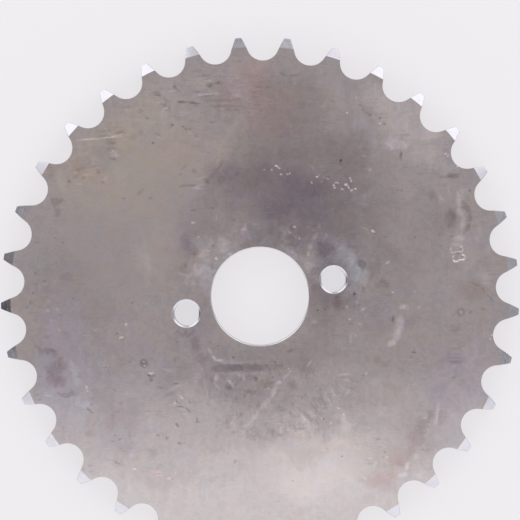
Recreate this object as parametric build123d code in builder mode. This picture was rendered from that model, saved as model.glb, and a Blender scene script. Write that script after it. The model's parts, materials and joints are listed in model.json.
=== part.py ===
from build123d import *
from math import acos, degrees, cos, isclose, radians, sin, tan
import os

# A flat plate sprocket for a roller chain, in millimetres.
# The origin is on the bore's axis, midway through the plate, where the chain runs.
# +X passes through the middle of a tooth gap and through the bolt holes' centres.

# The chain that runs on the teeth
chain_pitch = 12.7  # from one roller's centre to the next
roller_diameter = 8.51

# Teeth
tooth_count = 33
seat_clearance = 0.06  # between a roller and the seat under it
seat_angle = 132.0  # how far the seat goes round the roller, in degrees
flank_ratio = 0.12  # the flank's radius over roller_diameter * (tooth_count + 2)
tip_height = 2.0  # from the pitch circle out to the tips
cutter_overrun = 0.5  # how far the gap's cutter goes out past the tips

# Plate
plate_thickness = 7.2
relief_depth = 1.6  # the cone that narrows the teeth's tips, along the axis on each face
relief_angle = 30.0  # between that cone and the face, in degrees

# Holes
bore_diameter = 26.0
bore_chamfer = 0.2
bolt_count = 2
bolt_hole_diameter = 6.6
bolt_hole_chamfer = 0.5
bolt_wall = 3.7  # the plate left between the bore and a bolt hole

# The rollers' centres lie on the pitch circle, and each pitch is one of its chords.
pitch_radius = chain_pitch / (2 * sin(radians(180 / tooth_count)))
tip_radius = pitch_radius + tip_height
face_radius = tip_radius - relief_depth / tan(radians(relief_angle))

# The seat is concave and the flank is convex. They meet in line, where the seat stops, so the
# flank's centre is inside the tooth, on the line from the roller's centre through that meeting.
seat_radius = roller_diameter / 2 + seat_clearance
flank_radius = flank_ratio * roller_diameter * (tooth_count + 2)
flank_centre = pitch_radius - (seat_radius + flank_radius) * cos(radians(seat_angle / 2))
cutter_radius = tip_radius + cutter_overrun
flank_angle = seat_angle / 2 - degrees(acos((cutter_radius - flank_centre) / flank_radius))

bolt_circle_radius = bore_diameter / 2 + bolt_wall + bolt_hole_diameter / 2

# One tooth gap, open along +X
with BuildSketch() as tooth_gap:
    with BuildLine():
        seat = CenterArc((pitch_radius, 0), seat_radius, 180 + seat_angle / 2, -seat_angle)
        flank = JernArc(seat @ 1, seat % 1, flank_radius, flank_angle)
        mirror(flank, about=Plane.XZ)
        Line(flank @ 1, ((flank @ 1).X, -(flank @ 1).Y))
    make_face()

with BuildPart() as sprocket_plate:
    # A turned blank, with the relief cone on each side of its rim
    with BuildSketch(Plane.XZ):
        Polygon(
            (0, -plate_thickness / 2),
            (face_radius, -plate_thickness / 2),
            (tip_radius, relief_depth - plate_thickness / 2),
            (tip_radius, plate_thickness / 2 - relief_depth),
            (face_radius, plate_thickness / 2),
            (0, plate_thickness / 2),
            align=None,
        )
    revolve(axis=Axis.Z)

    # The gaps between the teeth
    with BuildSketch():
        with PolarLocations(0, tooth_count):
            add(tooth_gap.sketch)
    extrude(amount=plate_thickness, both=True, mode=Mode.SUBTRACT)

    # The bore for the hub and the bolt holes beside it
    Hole(bore_diameter / 2)
    with PolarLocations(bolt_circle_radius, bolt_count):
        Hole(bolt_hole_diameter / 2)

    # Both faces' edges of each hole are broken.
    rims = sprocket_plate.edges().filter_by(GeomType.CIRCLE)
    chamfer(rims.filter_by(lambda rim: isclose(rim.radius, bore_diameter / 2)), bore_chamfer)
    chamfer(rims.filter_by(lambda rim: isclose(rim.radius, bolt_hole_diameter / 2)), bolt_hole_chamfer)

sprocket_plate.part.label = "sprocket_plate"

os.makedirs("parts", exist_ok=True)
export_step(sprocket_plate.part, "parts/sprocket_plate.step")

print("pitch diameter", round(2 * pitch_radius, 2), "tip diameter", round(2 * tip_radius, 2))
print("root diameter", round(2 * (pitch_radius - seat_radius), 2), "face diameter", round(2 * face_radius, 2))
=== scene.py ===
import bpy
import json
from math import acos, atan2, ceil, cos, degrees, pi, radians, sin, tan
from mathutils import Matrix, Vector
from mathutils.geometry import delaunay_2d_cdt


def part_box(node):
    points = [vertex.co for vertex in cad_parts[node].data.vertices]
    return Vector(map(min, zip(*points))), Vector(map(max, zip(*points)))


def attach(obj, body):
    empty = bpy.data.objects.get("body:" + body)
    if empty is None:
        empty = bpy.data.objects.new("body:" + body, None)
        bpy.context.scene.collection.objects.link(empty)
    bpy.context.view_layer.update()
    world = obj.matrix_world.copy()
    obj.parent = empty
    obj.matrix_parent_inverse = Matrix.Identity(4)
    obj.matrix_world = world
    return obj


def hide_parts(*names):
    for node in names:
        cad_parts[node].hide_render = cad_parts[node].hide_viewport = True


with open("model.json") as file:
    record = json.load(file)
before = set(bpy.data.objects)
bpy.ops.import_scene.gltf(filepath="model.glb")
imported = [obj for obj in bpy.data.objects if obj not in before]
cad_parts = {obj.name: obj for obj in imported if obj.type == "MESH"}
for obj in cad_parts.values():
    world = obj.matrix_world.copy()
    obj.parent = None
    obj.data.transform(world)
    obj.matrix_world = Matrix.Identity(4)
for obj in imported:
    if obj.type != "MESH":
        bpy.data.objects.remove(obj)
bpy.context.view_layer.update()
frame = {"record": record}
mounts = {mount["name"]: mount for mount in frame["record"]["mounts"]}
millimetre = 0.001
print("frame loaded")

# The plate is worked out in millimetres. Its middle plane is at height 0 and the bore is on the z axis.
plate = {
    "teeth": 33,
    "rollerDiameter": 8.51,
    "seatClearance": 0.06,   # between a roller and the seat under it
    "seatAngle": 132,        # how far the seat goes round the roller, degrees
    "flankRatio": 0.12,      # the flank's radius over rollerDiameter * (teeth + 2)
    "tipHeight": 2.0,        # from the pitch circle out to the tips
    "reliefDepth": 1.6,      # the cone at the tips, along the axis
    "reliefAngle": 30,       # between the cone and the face, degrees
    "boreChamfer": 0.2,
    "boltChamfer": 0.5,
    "chamferTilts": (19, 44),   # from the face, at the worn outer edge and at the inner edge, degrees
    "chamferSteps": 4,
    "edgeRound": 0.08,       # the radius left on every milled edge
    "edgeSteps": 5,
    "edgeInset": 0.12,       # flat kept beside the rounded edge
    "seatSteps": 18,
    "lowFlankSteps": 2,      # along the flank, under the relief cone's inner edge
    "highFlankSteps": 6,     # along the flank, beside the cone
    "landSteps": 3,          # along the tip
    "coneSteps": 6,          # along the cone's inner edge
    "boreSteps": 144,
    "boltSteps": 64,
    "fillSpacing": 4.0,      # between the points inside a face
    "mergeDistance": 1e-7,   # points of a face closer than this are one
    "sharpAngle": 20,        # edges that turn more than this are shaded sharp, degrees
}
stamp = {
    # the tooth count, two threes punched side by side into the front, their tops outward
    "radius": 53.6,
    "bearing": -0.8,         # from the part's +x, degrees
    "spacing": 2.28,
    "bowls": ((0.85, 0.75), (-0.75, 0.85)),   # height of the centre and radius, of the upper and lower half
    "hook": 70,              # how far each bowl runs past its top or bottom, degrees
    "depths": (0.08, 0.12),   # of the first and the second three
    "halfGroove": 0.32,
    "margin": 0.3,
    "step": 0.07,            # between the points of the mesh there
}
dents = [
    # knocks deep enough to be in the mesh: across and up the view, radius, depth
    (-30.7, -17.7, 1.2, 0.16),
    (-28.8, -20.9, 1.2, 0.14),
    (-20.9, -27.9, 1.5, 0.12),
    (-21.9, -34.0, 0.8, 0.1),
    (-27.0, -36.7, 0.6, 0.1),
    (53.2, -4.1, 1.1, 0.1),
    (29.9, 17.3, 0.9, 0.1),
    (9.1, 18.4, 0.7, 0.08),
]
dentStep = 0.12              # between the points of the mesh in a dent
gridRow = 0.866              # from one row of a triangular grid to the next, over its spacing
everyTriangle = 0            # the kind of filling asked for, with nothing left out
viewRoll = 13.0              # how far the plate's +x is turned anticlockwise in the view, degrees

pitchRadius = mounts["chain_teeth"]["pos_m"][0] / millimetre
boreRadius = mounts["bore"]["dims"]["r_mm"]
boltRadius = mounts["bolt_holes"]["dims"]["hole_r_mm"]
boltCircleRadius = mounts["bolt_holes"]["dims"]["pcd_mm"] / 2
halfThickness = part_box("sprocket_plate")[1].z / millimetre
tipRadius = pitchRadius + plate["tipHeight"]
rootRadius = pitchRadius - plate["rollerDiameter"] / 2 - plate["seatClearance"]
faceRadius = tipRadius - plate["reliefDepth"] / tan(radians(plate["reliefAngle"]))


def polar(radius, angle, centre=(0, 0)):
    return Vector((centre[0] + radius * cos(angle), centre[1] + radius * sin(angle)))


def turned(place, angle):
    return Vector((place.x * cos(angle) - place.y * sin(angle), place.x * sin(angle) + place.y * cos(angle)))


def between(first, last, steps):
    return [first + (last - first) * step / steps for step in range(steps + 1)]


def gridPlaces(rows, spacing):
    # a triangular grid about 0
    places = []
    for row in range(-rows, rows + 1):
        for column in range(-rows, rows + 1):
            places.append(Vector((column + 0.5 * (row % 2), row * gridRow)) * spacing)
    return places


class RimPoint:
    # one point of the rim's outline, with the normal that points away from the steel
    def __init__(self, place, normal, onConeEdge=False, onLand=False):
        self.place, self.normal = place, normal
        self.onConeEdge, self.onLand = onConeEdge, onLand

    def turned(self, angle):
        return RimPoint(turned(self.place, angle), turned(self.normal, angle), self.onConeEdge, self.onLand)


def toothOutline():
    # the whole rim, anticlockwise
    seatRadius = plate["rollerDiameter"] / 2 + plate["seatClearance"]
    flankRadius = plate["flankRatio"] * plate["rollerDiameter"] * (plate["teeth"] + 2)
    halfSeat = radians(plate["seatAngle"] / 2)
    roller = Vector((pitchRadius, 0))
    flankCentre = polar(seatRadius + flankRadius, pi - halfSeat, roller)
    reach = flankCentre.length
    bearing = atan2(flankCentre.y, flankCentre.x)

    def flankAngleAt(radius):
        return bearing - acos((radius ** 2 - reach ** 2 - flankRadius ** 2) / (2 * reach * flankRadius))

    faceAngle, tipAngle = flankAngleAt(faceRadius), flankAngleAt(tipRadius)
    upper = []
    for angle in between(pi, pi - halfSeat, plate["seatSteps"] // 2):
        place = polar(seatRadius, angle, roller)
        upper.append(RimPoint(place, (roller - place).normalized()))
    low = between(-halfSeat, faceAngle, plate["lowFlankSteps"])[1:]
    high = between(faceAngle, tipAngle, plate["highFlankSteps"])[1:]
    for angle in low + high:
        place = polar(flankRadius, angle, flankCentre)
        upper.append(RimPoint(place, (place - flankCentre).normalized(), angle == faceAngle))
    corner = upper[-1]  # at the tip's corner the normal is shared by the flank and the land
    shared = (corner.normal + corner.place.normalized()).normalized()
    corner.normal = shared / shared.dot(corner.normal)
    mirrored = [
        RimPoint(Vector((p.place.x, -p.place.y)), Vector((p.normal.x, -p.normal.y)), p.onConeEdge)
        for p in reversed(upper[1:])
    ]
    pitchAngle = 2 * pi / plate["teeth"]
    landStart = atan2(upper[-1].place.y, upper[-1].place.x)
    land = [
        RimPoint(polar(tipRadius, angle), polar(1, angle), onLand=True)
        for angle in between(landStart, pitchAngle - landStart, plate["landSteps"])[1:-1]
    ]
    once = mirrored + upper + land
    return [point.turned(tooth * pitchAngle) for tooth in range(plate["teeth"]) for point in once]


def arcDistance(place, centre, radius, start, sweep):
    # how far a place is from an arc that runs anticlockwise from start, both angles in degrees
    away = place - centre
    if (degrees(atan2(away.y, away.x)) - start) % 360 <= sweep:
        return abs(away.length - radius)
    ends = [polar(radius, radians(angle), centre) for angle in (start, start + sweep)]
    return min((place - end).length for end in ends)


def stampPlace(x, y):
    # from the number's own axes to the part's: x is the reading direction and y points outward
    turn = radians(stamp["bearing"])
    return turned(Vector((stamp["radius"] + y, -x)), turn)


def stampDepth(place):
    own = turned(place, -radians(stamp["bearing"]))
    x, y = -own.y, own.x - stamp["radius"]
    if abs(x) > stamp["spacing"] * 1.5 or abs(y) > stamp["spacing"]:
        return 0  # well clear of the number
    depth = 0
    upperBowl, lowerBowl = stamp["bowls"]
    for side, groove in zip((-0.5, 0.5), stamp["depths"]):
        here = Vector((x - side * stamp["spacing"], y))
        upper = arcDistance(here, Vector((0, upperBowl[0])), upperBowl[1], -90, 180 + stamp["hook"])
        lowerStart = -90 - stamp["hook"]
        lower = arcDistance(here, Vector((0, lowerBowl[0])), lowerBowl[1], lowerStart, 180 + stamp["hook"])
        nearness = min(1, min(upper, lower) / stamp["halfGroove"])
        depth = max(depth, groove * (0.5 + 0.5 * cos(pi * nearness)))
    return depth


def dentPlace(across, up):
    # from the view's axes to the part's
    return turned(Vector((across, up)), -radians(viewRoll))


def dentDepth(place):
    depth = 0
    for across, up, radius, deepest in dents:
        nearness = min(1, (place - dentPlace(across, up)).length / radius)
        depth = max(depth, deepest * (1 - nearness ** 2) ** 2)
    return depth


def finePlaces():
    # where the front face's mesh is close enough to hold the number and the dents
    places = []
    reachX = stamp["spacing"] / 2 + stamp["bowls"][1][1] + stamp["margin"]
    reachY = 2 * stamp["bowls"][1][1] + stamp["margin"]
    for x in between(-reachX, reachX, round(2 * reachX / stamp["step"])):
        for y in between(-reachY, reachY, round(2 * reachY / stamp["step"])):
            places.append(stampPlace(x, y))
    for across, up, radius, _ in dents:
        centre = dentPlace(across, up)
        for away in gridPlaces(ceil(radius / dentStep), dentStep):
            if away.length <= radius + dentStep:
                places.append(centre + away)
    return places


def faceHeight(radius):
    # flat as far as the face's radius, then down the cone
    return halfThickness - max(0, radius - faceRadius) * tan(radians(plate["reliefAngle"]))


class MeshMaker:
    # gathers corners and faces, each face with the index of its finish
    def __init__(self):
        self.corners, self.faces, self.finishes = [], [], []

    def corner(self, x, y, z):
        self.corners.append((x * millimetre, y * millimetre, z * millimetre))
        return len(self.corners) - 1

    def face(self, indices, finish):
        self.faces.append(indices)
        self.finishes.append(finish)

    def band(self, upperRing, lowerRing, finishAt):
        # quads between two closed rings of equal length
        for here in range(len(upperRing)):
            there = (here + 1) % len(upperRing)
            corners = (upperRing[here], lowerRing[here], lowerRing[there], upperRing[there])
            self.face(corners, finishAt(here, there))

    def build(self, name, materials):
        mesh = bpy.data.meshes.new(name)
        mesh.from_pydata(self.corners, [], self.faces)
        for material in materials:
            mesh.materials.append(material)
        mesh.polygons.foreach_set("material_index", self.finishes)
        mesh.polygons.foreach_set("use_smooth", [True] * len(self.faces))
        mesh.set_sharp_from_angle(angle=radians(plate["sharpAngle"]))
        mesh.validate()
        made = bpy.data.objects.new(name, mesh)
        bpy.context.scene.collection.objects.link(made)
        return made


frontFinish, backFinish, turnedFinish, milledFinish, boredFinish = range(5)


def rimRings(maker, outline):
    # rings from the front face over the rounded edge, down the wall and round to the back face
    radius = plate["edgeRound"]
    steps = [(radius + plate["edgeInset"], 0)]
    for turn in between(0, pi / 2, plate["edgeSteps"]):
        steps.append((radius * (1 - sin(turn)), radius * (1 - cos(turn))))
    rings = []
    for side in (1, -1):
        for inset, drop in steps[::side]:
            ring = []
            for point in outline:
                place = point.place - point.normal * inset
                if point.onConeEdge:
                    place = place * (faceRadius / place.length)
                ring.append(maker.corner(place.x, place.y, side * (faceHeight(place.length) - drop)))
            rings.append(ring)
    return rings


def rimBands(maker, rings, outline):
    def onCone(here, there):
        middle = (outline[here].place + outline[there].place) / 2
        return middle.length > faceRadius

    def alongWall(here, there):
        return turnedFinish if outline[here].onLand or outline[there].onLand else milledFinish

    maker.band(rings[0], rings[1], lambda here, there: turnedFinish if onCone(here, there) else frontFinish)
    for upperRing, lowerRing in zip(rings[1:-2], rings[2:-1]):
        maker.band(upperRing, lowerRing, alongWall)
    maker.band(rings[-2], rings[-1], lambda here, there: turnedFinish if onCone(here, there) else backFinish)


def chamferProfile(radius, chamfer):
    # a chamfer worn slightly round, from the face down to the hole's wall
    first, last = [radians(tilt) for tilt in plate["chamferTilts"]]
    curve = chamfer / (sin(last) - sin(first))
    profile = []
    for tilt in between(first, last, plate["chamferSteps"]):
        drop = curve * (cos(first) - cos(tilt))
        profile.append((radius + curve * (sin(last) - sin(tilt)), halfThickness - drop))
    return profile


def holeRings(maker, centre, radius, chamfer, steps):
    front = chamferProfile(radius, chamfer)
    rings = []
    for ringRadius, height in front + [(r, -z) for r, z in reversed(front)]:
        ring = []
        for step in range(steps):
            place = polar(ringRadius, -2 * pi * step / steps, centre)
            ring.append(maker.corner(place.x, place.y, height))
        rings.append(ring)
    for number, (upperRing, lowerRing) in enumerate(zip(rings, rings[1:])):
        finish = boredFinish if number == len(front) - 1 else turnedFinish
        maker.band(upperRing, lowerRing, lambda here, there: finish)
    return rings


holes = [(Vector((0, 0)), boreRadius, plate["boreChamfer"], plate["boreSteps"])]
for holeSide in (1, -1):
    boltPlace = Vector((holeSide * boltCircleRadius, 0))
    holes.append((boltPlace, boltRadius, plate["boltChamfer"], plate["boltSteps"]))


def insideRim(place, rimEdges):
    # counts the rim's edges that a line to the right crosses
    if place.length < rootRadius - 3 * plate["edgeInset"]:
        return True  # under the gaps there is nothing to count
    inside = False
    for (ax, ay), (bx, by) in rimEdges:
        if (ay > place.y) != (by > place.y) and place.x < ax + (place.y - ay) / (by - ay) * (bx - ax):
            inside = not inside
    return inside


def insideHole(place):
    # within the ring's straight sides, so that no sliver is left between its corners
    for centre, radius, chamfer, steps in holes:
        if (place - centre).length < (radius + chamfer) * cos(pi / steps):
            return True
    return False


def capFaces(maker, loops, outline, side):
    # one face of the plate: triangles between the rim's ring and the holes' rings
    places, edges, known = [], [], []
    for loop in loops:
        start = len(places)
        for index in loop:
            x, y, _ = maker.corners[index]
            places.append(Vector((x, y)) / millimetre)
            known.append(index)
        edges += [(start + here, start + (here + 1) % len(loop)) for here in range(len(loop))]
    rim = places[:len(loops[0])]
    rimEdges = [(tuple(a), tuple(b)) for a, b in zip(rim, rim[1:] + rim[:1])]

    # the cone's inner edge runs across each tooth, from one gap's crossing to the next gap's
    crossings = [here for here, point in enumerate(outline) if point.onConeEdge]
    for first, last in zip(crossings[1::2], crossings[2::2] + crossings[:1]):
        start = atan2(rim[first].y, rim[first].x)
        sweep = (atan2(rim[last].y, rim[last].x) - start) % (2 * pi)
        chain = [first]
        for angle in between(start, start + sweep, plate["coneSteps"])[1:-1]:
            chain.append(len(places))
            places.append(polar(faceRadius, angle))
        chain.append(last)
        edges += list(zip(chain, chain[1:]))

    spacing = plate["fillSpacing"]
    for place in gridPlaces(ceil(rootRadius / spacing), spacing):
        clear = all((place - centre).length > radius + spacing / 2 for centre, radius, _, _ in holes)
        if clear and place.length < rootRadius - spacing / 2:
            places.append(place)
    if side == 1:
        places += finePlaces()
    known += [None] * (len(places) - len(known))

    made, _, triangles, sources, _, _ = delaunay_2d_cdt(
        places, edges, [], everyTriangle, plate["mergeDistance"]
    )
    indices = []
    for place, origins in zip(made, sources):
        index = next((known[origin] for origin in origins if known[origin] is not None), None)
        if index is None:
            depth = max(stampDepth(place), dentDepth(place)) if side == 1 else 0
            index = maker.corner(place.x, place.y, side * (faceHeight(place.length) - depth))
        indices.append(index)
    coneStart = faceRadius * cos(pi / plate["teeth"] / plate["coneSteps"])
    flat = frontFinish if side == 1 else backFinish
    for triangle in triangles:
        middle = sum((made[corner] for corner in triangle), Vector((0, 0))) / 3
        if not insideRim(middle, rimEdges) or insideHole(middle):
            continue
        ordered = [indices[corner] for corner in triangle]
        maker.face(ordered[::side], turnedFinish if middle.length > coneStart else flat)


def makePlate(materials):
    maker = MeshMaker()
    outline = toothOutline()
    rings = rimRings(maker, outline)
    rimBands(maker, rings, outline)
    holeLoops = [holeRings(maker, *hole) for hole in holes]
    capFaces(maker, [rings[0]] + [loops[0] for loops in holeLoops], outline, 1)
    capFaces(maker, [rings[-1]] + [loops[-1] for loops in holeLoops], outline, -1)
    return maker.build("sprocket_body", materials)


mixFactor, mixUnder, mixOver, mixResult = 0, 6, 7, 2   # a Mix node's sockets for colours
noiseGain = 7                # brings a noise's usual swing to about plus or minus 1
swayGain = 4                 # brings it to about half of that, for places
dragLines = (0.5, 1, 0.5, (0.12, 1, 1))   # noises are size in millimetres, detail, roughness, stretch
dragRuns = (1.3, 1, 0.5, (1, 0.12, 1))
patchDepth = 1000            # so long through the plate that a patch is the same at every height


class Wire:
    # a node's output; sums written with it add Math nodes
    def __init__(self, shader, socket):
        self.shader, self.socket = shader, socket

    def maths(self, operation, first, second):
        return self.shader.node("Math", {"operation": operation}, {0: first, 1: second})

    def __add__(self, other):
        return self.maths("ADD", self, other)

    def __radd__(self, other):
        return self.maths("ADD", other, self)

    def __sub__(self, other):
        return self.maths("SUBTRACT", self, other)

    def __rsub__(self, other):
        return self.maths("SUBTRACT", other, self)

    def __mul__(self, other):
        return self.maths("MULTIPLY", self, other)

    def __rmul__(self, other):
        return self.maths("MULTIPLY", other, self)


class Shader:
    # adds nodes to one material's or world's tree
    def __init__(self, tree):
        self.tree = tree

    def feed(self, node, sockets):
        for name, value in sockets.items():
            if isinstance(value, Wire):
                self.tree.links.new(value.socket, node.inputs[name])
            else:
                node.inputs[name].default_value = value

    def node(self, kind, settings, sockets, output=0):
        made = self.tree.nodes.new("ShaderNode" + kind)
        for name, value in settings.items():
            setattr(made, name, value)
        self.feed(made, sockets)
        return Wire(self, made.outputs[output])

    def vector(self, operation, first, second, third=(0, 0, 0)):
        return self.node("VectorMath", {"operation": operation}, {0: first, 1: second, 2: third})

    def scaled(self, place, scale):
        return self.vector("MULTIPLY", place, scale)

    def sum(self, first, *others):
        # vectors and levels; a level counts for all three colours
        for other in others:
            first = self.vector("ADD", first, other)
        return first

    def tinted(self, amount, colour):
        # a colour's three levels, times a number that varies
        return self.node("VectorMath", {"operation": "SCALE"}, {0: colour, "Scale": amount})

    def ramp(self, value, low, high, toLow=0, toHigh=1, style="SMOOTHSTEP"):
        sockets = {"Value": value, "From Min": low, "From Max": high, "To Min": toLow, "To Max": toHigh}
        # the smooth one clamps by itself
        settings = {"interpolation_type": style, "clamp": style == "LINEAR"}
        return self.node("MapRange", settings, sockets)

    def tones(self, value, light, dark):
        # lighter one way and darker the other; each is where it starts, where it is full, levels
        return self.ramp(value, *light[:2]) * light[2] - self.ramp(value, *dark[:2]) * dark[2]

    def noise(self, place, size, detail=2, rough=0.5, stretch=(1, 1, 1), output="Fac"):
        # lumps of about the given size in millimetres
        wide = self.scaled(place, [part / size for part in stretch])
        sockets = {"Vector": wide, "Scale": 1, "Detail": detail, "Roughness": rough}
        return self.node("TexNoise", {}, sockets, output)

    def wander(self, place, *noise):
        # noise about 0
        return self.noise(place, *noise) - 0.5

    def lumps(self, place, amount, *noise):
        # noise about 0 that seldom leaves plus or minus twice the amount
        return self.wander(place, *noise) * (amount * noiseGain)

    def swayed(self, place, size, amount):
        # the same place pushed about a little, so that outlines drawn on it are ragged
        push = self.vector("SUBTRACT", self.noise(place, size, output="Color"), (0.5, 0.5, 0.5))
        return self.vector("MULTIPLY_ADD", push, [amount * swayGain] * 3, place)

    def dragged(self, place, across, up):
        # the same place again, pushed sideways in fine lines and up or down in wider runs
        lines = self.wander(place, *dragLines)
        runs = self.wander(place, *dragRuns)
        push = self.node("CombineXYZ", {}, {0: lines * (across * swayGain), 1: runs * (up * swayGain)})
        return self.vector("ADD", place, push)

    def patch(self, place, across, up, length, width, bearing=0, core=0):
        # 1 inside an ellipse and 0 outside it, soft from the core's share of its radius outward
        inward = self.node("TexGradient", {"gradient_type": "SPHERICAL"}, {"Vector": place}, "Fac")
        own = inward.socket.node.texture_mapping
        own.vector_type = "TEXTURE"
        own.translation = (across, up, 0)
        own.rotation = (0, 0, radians(bearing))
        own.scale = (length / 2, width / 2, patchDepth)
        return self.ramp(inward, 0, 1 - core)

    def mark(self, tone, place, mark, core):
        # the tone is multiplied, so that marks that lie on each other add up
        across, up, length, width, bearing, lift, *tint = mark
        redder, bluer = tint or (0, 0)
        changes = (lift + redder, lift, lift + bluer)
        shade = [1 + change / usual for change, usual in zip(changes, steel["tone"])]
        mask = self.patch(place, across, up, length, width, bearing, core)
        sockets = {mixFactor: mask, mixUnder: tone, mixOver: (*shade, 1)}
        return self.node("Mix", {"data_type": "RGBA", "blend_type": "MULTIPLY"}, sockets, mixResult)

    def marked(self, place, marks, core):
        # what all the marks of a list do to the tone under them, put together in a group of their own
        tree = bpy.data.node_groups.new("marks", "ShaderNodeTree")
        tree.interface.new_socket("Place", in_out="INPUT", socket_type="NodeSocketVector")
        tree.interface.new_socket("Shade", in_out="OUTPUT", socket_type="NodeSocketColor")
        inner = Shader(tree)
        own = Wire(inner, tree.nodes.new("NodeGroupInput").outputs["Place"])
        shade = (1, 1, 1, 1)
        for mark in marks:
            shade = inner.mark(shade, own, mark, core)
        inner.feed(tree.nodes.new("NodeGroupOutput"), {"Shade": shade})
        return self.node("Group", {"node_tree": tree}, {"Place": place})


def newMaterial(name):
    material = bpy.data.materials.new(name)
    material.use_nodes = True
    return material, Shader(material.node_tree), material.node_tree.nodes["Principled BSDF"]


def platePlace(shader):
    # millimetres from the bore's centre, x across the view and y up it
    own = shader.node("TexCoord", {}, {}, "Object")
    sockets = {"Vector": own, "Rotation": (0, 0, radians(viewRoll)), "Scale": [1 / millimetre] * 3}
    return shader.node("Mapping", {}, sockets)


steel = {
    "tone": (149, 140, 141),     # the plate's usual tone, levels out of 255
    "overhead": 0.787,           # the light that a flat face looking up gives back
    "brightest": 0.95,
    "displayGamma": 2.2,
    # sways are size and amount, drags are across and up, in millimetres
    "nearSway": (1.1, 0.18),
    "closeSway": (0.5, 0.12),
    "raggedSway": (2.2, 0.55),
    "raggedDrag": (0.5, 0.7),
    "broadSway": (9, 2.6),
    "broadDrag": (1.2, 1.2),
}
rolled = {
    # What any rolled and pickled face shows. Noises are size in millimetres, detail, roughness, stretch.
    # Tones are where they start, where they are full and the levels, for the light and for the dark.
    "lines": (0.5, 3, 0.65, (0.13, 1, 1)),
    "lineTones": ((0.57, 0.7, 9), (0.44, 0.31, 11)),
    "breaks": (5, 3, 0.5, (0.5, 1, 1)),
    "breakEdges": (0.43, 0.58),
    "pours": (1.2, 3, 0.6, (1, 0.2, 1)),
    "pourTones": ((0.56, 0.68, 7), (0.42, 0.3, 5)),
    "curds": (3.2, 5, 0.64),
    "curdTones": ((0.44, 0.5, 3.4), (0.57, 0.62, 4.6)),
    "mottle": (1, 1.6, 3, 0.65),       # these two start with their strength in levels
    "grain": (0.15, 0.6, 1),
    "marring": (0.35, 0.8, 0.7),       # share of curds and mottle where even, what uneven adds, its pours
    "lineShare": (0.3, 0.5),           # the same for the lines
    "warm": ((12, 0, -6), (6.3, 5, 0.62)),
    "cool": ((-2, 0, 15), (4.1, 5, 0.62)),
    "roughness": 0.3,
    "patches": (4, 4, 0.6, (0.6, 1, 1)),
    "patchDullness": 0.35,
    "patchHeight": 3,
    "relief": (0.6, 4, 0.6, (0.16, 1, 1)),
    "reliefHeight": 0.002,             # millimetres
}
front = {
    "wipedFrom": -16,                  # the plate gets lighter from here down: painted sheen, partly a wiped, cleaner face
    "wipedTo": -52,
    "wipedLift": 52,
    # patches are across, up, length, width, bearing, core
    "calm": (-34, 21, 64, 46, 55, 0.5),
    "calmness": 0.8,
    "wiped": (14, -46, 50, 20, 0, 0.5),
    "wipedness": 0.7,
    "torn": (-14, 53, 46, 19, 0, 0.4),
    # dried runs fan out under the bore
    "runsPatch": (4, -27, 46, 25, 0, 0.7),
    "runsSway": (2.4, 0.7),
    "runs": (1.5, 3, 0.62, (1, 0.6, 1)),
    "runTones": ((0.045, 0, 6), (0.05, 0.14, 7)),
    # pale scale clings round it
    "scalePatch": (1, 9, 52, 26, 0, 0.5),
    "scale": (2.7, 5, 0.65),
    "scaleEdges": (0.5, 0.58),
    "scaleLift": 10,
}
back = {
    "shift": (230, 170, 0),            # so that the back doesn't repeat the front, millimetres
    "unevenness": 0.8,
    # noises and their edges are as in the rolled finish, and clouds start with their strength
    "torn": (16, 3),
    "tornEdges": (0.5, 0.62),
    "clouds": (7, 24, 4, 0.6),
    "stains": (13, 5, 0.6),
    "stainEdges": (0.56, 0.66),
    "stainDrop": 16,
    "scuffs": (1.4, 2, 0.5, (0.06, 1, 1)),
    "scuffEdges": (0.68, 0.76),
    "scuffLift": 16,
}

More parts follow.
